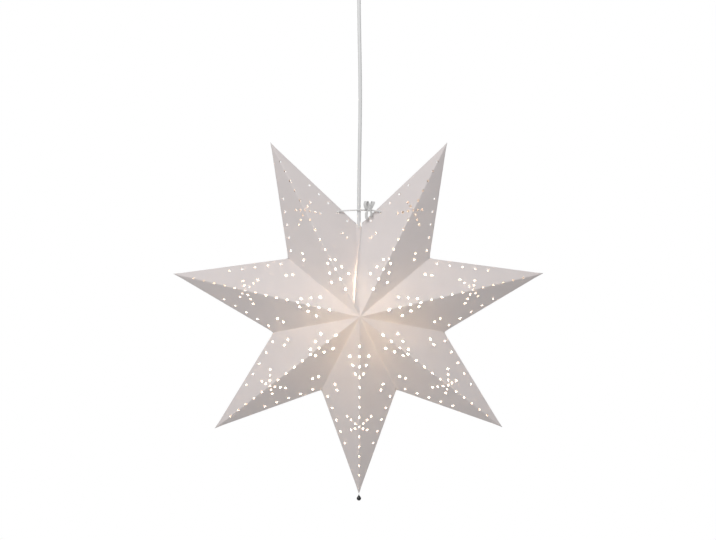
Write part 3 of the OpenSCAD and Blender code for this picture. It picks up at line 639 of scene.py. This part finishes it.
def flat_panel(holes, valley_trim=None):
    """The panel's flat mesh: its points and its triangles, with the holes left open."""
    points, edges = [], []
    trim = valley_trim or (lambda s: 0)

    def add_line(line, closed=False):
        first = len(points)
        points.extend(line)
        edges.extend((first + i, first + i + 1) for i in range(len(line) - 1))
        if closed:
            edges.append((len(points) - 1, first))

    def clear_of_holes(p, gap):
        return all((p - hole).length > radius + gap for hole, radius in holes)

    for a, b, _ in FOLDS:
        add_line(border_points(a, b))
    if valley_trim:
        spots = border_points(FLAT_APEX, FLAT_CORNER)[1:-1]
        add_line([spot + VALLEY_IN * trim(spot.length) for spot in spots if trim(spot.length) > 0])
    for hole, radius in holes:
        add_line([hole + radius * heading(360 * (k + 0.5) / HOLE_SIDES) for k in range(HOLE_SIDES)], True)
    for j in range(1, int(FLAT_CORNER.y / ROW_PITCH) + 2):
        for i in range(int(RIDGE_LENGTH / GRID) + 1):
            p = Vector(((i + 0.5 * (j % 2)) * GRID, j * ROW_PITCH))
            if min(fold_distances(p)) > 2 * FOLD_WIDTH and clear_of_holes(p, GRID_GAP):
                points.append(p)
    for a, b, inward in FOLDS:
        steps = round((b - a).length / FOLD_PITCH)
        for row in FOLD_ROWS:
            for i in range(1, steps):
                p = a.lerp(b, i / steps) + inward * row
                if min(fold_distances(p)) > 0.99 * row and clear_of_holes(p, ROW_GAP):
                    points.append(p)
    result = geometry.delaunay_2d_cdt(points, edges, [], 0, SAME_PLACE)
    flat, faces = [Vector(p) for p in result[0]], result[2]
    open_share = math.cos(math.pi / HOLE_SIDES)
    kept = []
    for face in faces:
        middle = sum((flat[i] for i in face), Vector((0, 0))) / len(face)
        distances = fold_distances(middle)
        if min(distances) > SLIVER and distances[2] > trim(middle.dot(VALLEY_DIR)) and all(
                (middle - hole).length > radius * open_share for hole, radius in holes):
            kept.append(tuple(face))
    return flat, kept


# Half the angle of the card at each fold, and the direction into the star that halves it
VALLEY_SIDE = Vector((math.cos(WEDGE / 2), 0, -math.sin(WEDGE / 2)))
HALF_ANGLES = (math.acos(PANEL_OUT.x), math.acos(-PANEL_OUT.y), math.acos(-PANEL_OUT.dot(VALLEY_SIDE)))
BISECTORS = (-Vector((0, PANEL_OUT.y, PANEL_OUT.z)).normalized(),
             -Vector((PANEL_OUT.x, 0, PANEL_OUT.z)).normalized(),
             -(PANEL_OUT - PANEL_OUT.dot(VALLEY_SIDE) * VALLEY_SIDE).normalized())
# The panels' unevenness: its height and length, and how far in from the folds it is full
WAVE_HEIGHT = 0.35 * MM
WAVE_LENGTH = 55 * MM
WAVE_MARGIN = 14 * MM
WAVE_SEED = Vector((7.3, 3.1, 1))
# How far from a panel's three corners the rounding of its folds is full
SHARP_ENDS = ((FLAT_APEX, 12 * MM), (FLAT_TIP, 12 * MM), (FLAT_CORNER, 6 * MM))


def eased(t):
    return t * t * (3 - 2 * t)


def folded(p, seed, free_valley, flapped):
    """A point of the flat panel, on the star: rounded at the folds and a little uneven between them."""
    distances = fold_distances(p)
    place = APEX + p.x * PANEL_U + p.y * PANEL_V
    if flapped and distances[2] < BEND:
        place = seam_section(p.dot(VALLEY_DIR), max(0, distances[2]))
    ends = min(1, *((p - end).length / reach for end, reach in SHARP_ENDS))
    for k, distance in enumerate(distances):
        if distance < FOLD_WIDTH and not (k == 2 and free_valley):
            depth = (FOLD_WIDTH - max(0, distance)) ** 2 / (2 * FOLD_WIDTH)
            place += BISECTORS[k] * (math.cos(HALF_ANGLES[k]) * depth * ends)
    calm = min(1, max(0, min(distances) - FOLD_WIDTH) / WAVE_MARGIN)
    swell = noise.noise(Vector((p.x, p.y, 0)) / WAVE_LENGTH + seed * WAVE_SEED)
    return place - PANEL_OUT * (swell * WAVE_HEIGHT * eased(calm))


# The seam at the top: the free flap of one point lies over the free edge of the other
EDGE_POINT = 4
FLAP_POINT = 5
VALLEY_LENGTH = FLAT_CORNER.length
FLAP_LIFT = 1.6 * MM
FLAP_WIDTH = 10.5 * MM
FLAP_END = 5 * MM
FLAP_END_WIDTH = 2 * MM
FLAP_LEAST = 0.1 * MM
FLAP_LENGTH = VALLEY_LENGTH - FLAP_END
FLAP_ROWS = 6
# Pairs of a place along the seam, from the apex, and a value there
FLAP_SHAPE = ((FLAP_END, FLAP_LEAST), (FLAP_END + FLAP_WIDTH, FLAP_WIDTH),
              (FLAP_LENGTH / 2, 0.75 * FLAP_WIDTH),
              (FLAP_LENGTH - FLAP_END_WIDTH, FLAP_END_WIDTH), (FLAP_LENGTH, FLAP_LEAST))
# How far the free edge goes in under the flap, and its share of that
EDGE_UNDER = ((0, 1.3 * MM), (68 * MM, 1.3 * MM), (88 * MM, 3.2 * MM), (120 * MM, 3.2 * MM),
              (160 * MM, 1.2 * MM))
EDGE_SHARE = ((14 * MM, 0), (24 * MM, 1), (142 * MM, 1), (154 * MM, 0))
# Next to the apex, where the flap is narrow, the free edge reaches across the gap
EDGE_CLOSED = ((0, 0.3 * MM), (9 * MM, 1.1 * MM), (14 * MM, 1.3 * MM), (18 * MM, 0))
EDGE_LEAST = 0.1 * MM
EDGE_ROWS = 2
# How far in from its root the flap's point begins to bend, and its share of the full bend
BEND = 12 * MM
BEND_SHARE = ((8 * MM, 0), (26 * MM, 1), (118 * MM, 1), (146 * MM, 0))


def between(s, shape):
    """The value at s on straight lines through the (place, value) pairs."""
    for (s0, w0), (s1, w1) in zip(shape, shape[1:]):
        if s0 <= s <= s1:
            return w0 + (w1 - w0) * (s - s0) / (s1 - s0)
    return 0


def flap_width(s):
    """Width of the seam's free flap at a distance from the apex."""
    return max(FLAP_LEAST, between(s, FLAP_SHAPE))


def edge_shift(s):
    """How far the free edge is cut back from its valley line, or reaches past it if negative."""
    covered = flap_width(s) - SEAM_GAP * s / VALLEY_LENGTH
    return (covered - between(s, EDGE_UNDER)) * between(s, EDGE_SHARE) - between(s, EDGE_CLOSED)


def seam_trim(s):
    return max(0, edge_shift(s))


# Along the valley, from it into its panel, and the same panel mirrored in the valley
ROOT_DIR = (CORNER - APEX).normalized()
ROOT_IN = (VALLEY_IN.x * PANEL_U + VALLEY_IN.y * PANEL_V).normalized()
ACROSS = ROOT_IN - 2 * ROOT_IN.dot(VALLEY_SIDE) * VALLEY_SIDE
NEXT_OUT = PANEL_OUT - 2 * PANEL_OUT.dot(VALLEY_SIDE) * VALLEY_SIDE


def seam_section(s, d):
    """A point of the free seam: d into its own panel, or over the next one where d is negative."""
    root = APEX + ROOT_DIR * s
    width = flap_width(s)
    if d >= 0:
        flat = root + ROOT_IN * d
    else:
        flat = root - ACROSS * d - NEXT_OUT * (FLAP_LIFT * d / FLAP_WIDTH)
    t = min(1, (BEND - d) / (BEND + width))
    bent = root + (1 - t) ** 2 * BEND * ROOT_IN + t * t * (width * ACROSS + FLAP_LIFT * NEXT_OUT)
    return flat.lerp(bent, eased(between(s, BEND_SHARE)))


def add_flap(bm, face_side):
    """The glue flap of the seam, left free over the other point's card."""
    rows = []
    for p in border_points(FLAT_APEX, FLAT_CORNER):
        if FLAP_END <= p.length <= FLAP_LENGTH:
            width = flap_width(p.length)
            spots = [seam_section(p.length, -width * k / FLAP_ROWS) for k in range(FLAP_ROWS + 1)]
            rows.append([bm.verts.new((-q.x, q.y * face_side, q.z)) for q in spots])
    for a, b in zip(rows, rows[1:]):
        for k in range(FLAP_ROWS):
            corners = (a[k], b[k], b[k + 1], a[k + 1])
            bm.faces.new(corners if face_side > 0 else corners[::-1])


def add_edge_strip(bm, face_side):
    """The free edge's card past its valley line, in under the flap."""
    rows = []
    for p in border_points(FLAT_APEX, FLAT_CORNER):
        reach = max(0, -edge_shift(p.length))
        root = APEX + ROOT_DIR * p.length
        spots = [root + VALLEY_SIDE * (reach * k / EDGE_ROWS) for k in range(EDGE_ROWS + 1)]
        rows.append([bm.verts.new((q.x, q.y * face_side, q.z)) for q in spots])
    for a, b in zip(rows, rows[1:]):
        for k in range(EDGE_ROWS):
            if (a[k].co - a[k + 1].co).length + (b[k].co - b[k + 1].co).length > EDGE_LEAST:
                corners = (a[k], b[k], b[k + 1], a[k + 1])
                bm.faces.new(corners if face_side < 0 else corners[::-1])


def on_star(number):
    """The rotation that puts an upright point in its place on the star."""
    turn = number - 1 if number <= EDGE_POINT else number - 1 - POINTS
    return Matrix.Translation(CENTRE) @ Matrix.Rotation(math.pi + turn * WEDGE, 4, "Y")


plain_panel = flat_panel(pierced_holes())
seam_panel = flat_panel(pierced_holes(), seam_trim)
ring_hole = (Vector((RIDGE_LENGTH * (1 - RING_HOLE_HEIGHT / TIP_RADIUS), 0)), RING_HOLE_RADIUS)
ring_panel = flat_panel(pierced_holes() + [ring_hole])
RING_POINT = 1
WELD = 0.002 * MM


def panel_of(number, side):
    if (number, side) == (EDGE_POINT, 1):
        return seam_panel
    return ring_panel if number == RING_POINT else plain_panel


def card_point(number):
    """One folded point of the star as a continuous sheet of card."""
    bm = bmesh.new()
    score = bm.verts.layers.float.new("score")
    for side in (1, -1):
        flapped = (number, side) == (FLAP_POINT, -1)
        free = flapped or (number, side) == (EDGE_POINT, 1)
        flat, faces = panel_of(number, side)
        for face_side in (1, -1):
            seed = number * 4 + side + face_side * 0.5
            made = []
            for p in flat:
                q = folded(p, seed, free, flapped)
                vert = bm.verts.new((q.x * side, q.y * face_side, q.z))
                vert[score] = max(0, 1 - fold_distances(p)[2] / SCORE_WIDTH)
                made.append(vert)
            for face in faces:
                corners = [made[i] for i in face]
                bm.faces.new(corners if side * face_side < 0 else corners[::-1])
    for face_side in (1, -1):
        if number == FLAP_POINT:
            add_flap(bm, face_side)
        if number == EDGE_POINT:
            add_edge_strip(bm, face_side)
    bmesh.ops.remove_doubles(bm, verts=bm.verts, dist=WELD)
    bmesh.ops.delete(bm, geom=[v for v in bm.verts if not v.link_faces], context="VERTS")
    for edge in bm.edges:
        edge.smooth = not edge.is_boundary
    bm.transform(on_star(number))
    bm.normal_update()
    name = f"card_point_{number}"
    piece = add_piece(name, smooth_mesh(name, bm), look["card"], "star")
    thick = piece.modifiers.new("thickness", "SOLIDIFY")
    thick.thickness = CARD
    thick.offset = -1
    thick.use_even_offset = True
    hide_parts(f"point_{number}")


for number in range(1, POINTS + 1):
    card_point(number)

# The studio
AMBIENT = 0.45
KEY_WATTS = 42
KEY_DISTANCE = 2.6
KEY_FROM = Vector((-0.25, -0.9, 0.76)).normalized()
KEY_SIZE = 1.5
FLOOR_Z = -2.4
FLOOR_SIZE = 5
FLOOR_LIFT = 0.42


def key_light():
    data = bpy.data.lights.new("key", "AREA")
    data.shape = "DISK"
    data.size = KEY_SIZE
    data.energy = KEY_WATTS
    lamp = add_object("key", data)
    lamp.location = CENTRE + KEY_DISTANCE * KEY_FROM
    aim(lamp, -KEY_FROM)


def to_the_eye(tree):
    """1 for what the camera sees, straight, in gloss or through glass, and 0 for all else."""
    path = tree.nodes.new("ShaderNodeLightPath")
    seen = path.outputs["Is Camera Ray"]
    for kind in ("Is Glossy Ray", "Is Transmission Ray"):
        either = tree.nodes.new("ShaderNodeMath")
        either.operation = "MAXIMUM"
        tree.links.new(seen, either.inputs[0])
        tree.links.new(path.outputs[kind], either.inputs[1])
        seen = either.outputs[0]
    return seen


def make_world():
    """White to the eye, and a soft even light to all else."""
    world = bpy.data.worlds.new("studio")
    bpy.context.scene.world = world
    world.use_nodes = True
    tree = world.node_tree
    tree.nodes.clear()
    strength = tree.nodes.new("ShaderNodeMapRange")
    strength.inputs["To Min"].default_value = AMBIENT
    strength.inputs["To Max"].default_value = 1.0
    tree.links.new(to_the_eye(tree), strength.inputs["Value"])
    background = tree.nodes.new("ShaderNodeBackground")
    background.inputs["Color"].default_value = (1, 1, 1, 1)
    tree.links.new(strength.outputs["Result"], background.inputs["Strength"])
    output = tree.nodes.new("ShaderNodeOutputWorld")
    tree.links.new(background.outputs["Background"], output.inputs["Surface"])


def make_floor():
    """A pale floor: to the eye it is lifted towards white and keeps its shadows."""
    mesh = bpy.data.meshes.new("floor")
    half = FLOOR_SIZE / 2
    corners = [(half * x, half * y, FLOOR_Z) for x, y in ((-1, -1), (1, -1), (1, 1), (-1, 1))]
    mesh.from_pydata(corners, [], [(0, 1, 2, 3)])
    floor = add_object("floor", mesh)
    s = Shader("pale_floor")
    normal = s.bump(s.noise(300), 0.1, 0.1 * MM)
    plain = s.principled(s.varied((0.90, 0.90, 0.90), 0.01, 3), 0.8, normal)
    lift = s.add("ShaderNodeEmission")
    s.link(s.math("MULTIPLY", to_the_eye(s.tree), FLOOR_LIFT), lift.inputs["Strength"])
    both = s.add("ShaderNodeAddShader")
    s.link(plain.outputs["BSDF"], both.inputs[0])
    s.link(lift.outputs["Emission"], both.inputs[1])
    s.material.cycles.emission_sampling = "NONE"
    mesh.materials.append(s.finish(both.outputs["Shader"]))


key_light()
make_world()
make_floor()
bpy.context.scene.view_settings.view_transform = "Standard"
